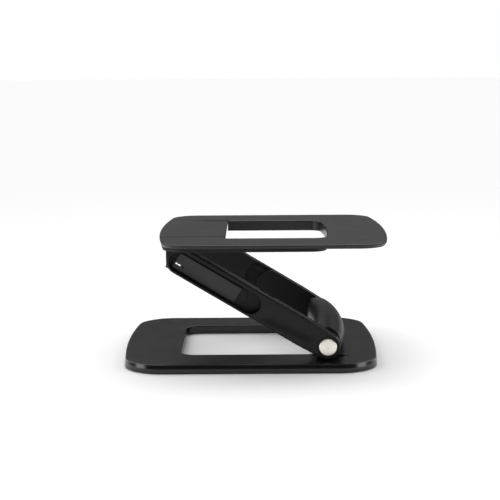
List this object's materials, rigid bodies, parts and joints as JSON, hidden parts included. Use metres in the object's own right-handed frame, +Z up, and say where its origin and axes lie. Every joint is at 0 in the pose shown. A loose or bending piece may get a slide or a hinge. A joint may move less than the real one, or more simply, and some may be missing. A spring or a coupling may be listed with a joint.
{
  "type": "standing desk converter",
  "caption": "Low desk riser: flat platform with a central opening, held level over a weighted base by one wide arm that swings up from a hub.",
  "frame": {"origin": "on the desk, under the middle of the whole object at rest", "axes": "+X from the free end of the base to the hub end, +Y away from the user, +Z up"},
  "size_m": [0.5808, 0.518, 0.2735],
  "materials": {
    "base_black": "satin black moulding",
    "platform_black": "satin black, fine grain",
    "arm_black": "satin black powder coat",
    "frame_black": "matt black paint",
    "channel_grey": "matt dark grey",
    "turned_steel": "turned steel, satin",
    "plain_steel": "zinc plated steel",
    "spring_steel": "oiled spring steel",
    "bronze": "sintered bronze",
    "foot_rubber": "moulded rubber"
  },
  "bodies": {
    "base": {"base_cover": "base_black", "base_weight_plate": "plain_steel", "rubber_foot_near_left": "foot_rubber", "rubber_foot_near_right": "foot_rubber", "rubber_foot_far_left": "foot_rubber", "rubber_foot_far_right": "foot_rubber", "hub_cover": "base_black", "hub_floor": "base_black", "shaft_stand_near": "plain_steel", "shaft_stand_far": "plain_steel", "shaft_bush_near": "bronze", "shaft_bush_far": "bronze", "base_link_pin_near": "plain_steel", "base_link_pin_far": "plain_steel", "torsion_spring_near": "spring_steel", "torsion_spring_far": "spring_steel", "hub_screw_1": "plain_steel", "hub_screw_2": "plain_steel", "hub_screw_3": "plain_steel", "hub_screw_4": "plain_steel"},
    "arm": {"arm_shell_near": "arm_black", "arm_core_near": "frame_black", "arm_lower_cover_near": "arm_black", "arm_upper_cover_near": "arm_black", "channel_liner_near": "frame_black", "channel_plate_near": "channel_grey", "pivot_cap_near": "turned_steel", "upper_bush_near": "bronze", "shaft_collar_near": "plain_steel", "friction_disc_near": "spring_steel", "arm_shell_far": "arm_black", "arm_core_far": "frame_black", "arm_lower_cover_far": "arm_black", "arm_upper_cover_far": "arm_black", "channel_liner_far": "frame_black", "channel_plate_far": "channel_grey", "pivot_cap_far": "turned_steel", "upper_bush_far": "bronze", "shaft_collar_far": "plain_steel", "friction_disc_far": "spring_steel", "pivot_shaft": "plain_steel"},
    "platform": {"platform_top": "platform_black", "platform_underframe": "frame_black", "upper_shaft": "plain_steel", "platform_bracket_near": "arm_black", "platform_link_pin_near": "plain_steel", "shaft_clip_near": "spring_steel", "platform_bracket_far": "arm_black", "platform_link_pin_far": "plain_steel", "shaft_clip_far": "spring_steel", "bracket_screw_1": "plain_steel", "bracket_screw_2": "plain_steel", "bracket_screw_3": "plain_steel", "bracket_screw_4": "plain_steel"},
    "link_near": {"level_link_near": "frame_black"},
    "link_far": {"level_link_far": "frame_black"}
  },
  "joints": [
    {"name": "arm_lift", "type": "hinge", "parent": "base", "child": "arm", "pos_m": [0.15313, 0, 0.0477], "axis": [0, 1, 0], "range_deg": [-28, 30]},
    {"name": "platform_level", "type": "hinge", "parent": "arm", "child": "platform", "pos_m": [-0.15803, 0, 0.23466], "axis": [0, 1, 0], "range_deg": [-30, 28]},
    {"name": "link_near_turn", "type": "hinge", "parent": "base", "child": "link_near", "pos_m": [0.16113, -0.187, 0.06156], "axis": [0, 1, 0], "range_deg": [-28, 30]},
    {"name": "link_far_turn", "type": "hinge", "parent": "base", "child": "link_far", "pos_m": [0.16113, 0.187, 0.06156], "axis": [0, 1, 0], "range_deg": [-28, 30]}
  ],
  "couplings": [
    {"joint": "platform_level", "follows": "arm_lift", "ratio": -1},
    {"joint": "link_near_turn", "follows": "arm_lift", "ratio": 1},
    {"joint": "link_far_turn", "follows": "arm_lift", "ratio": 1}
  ]
}
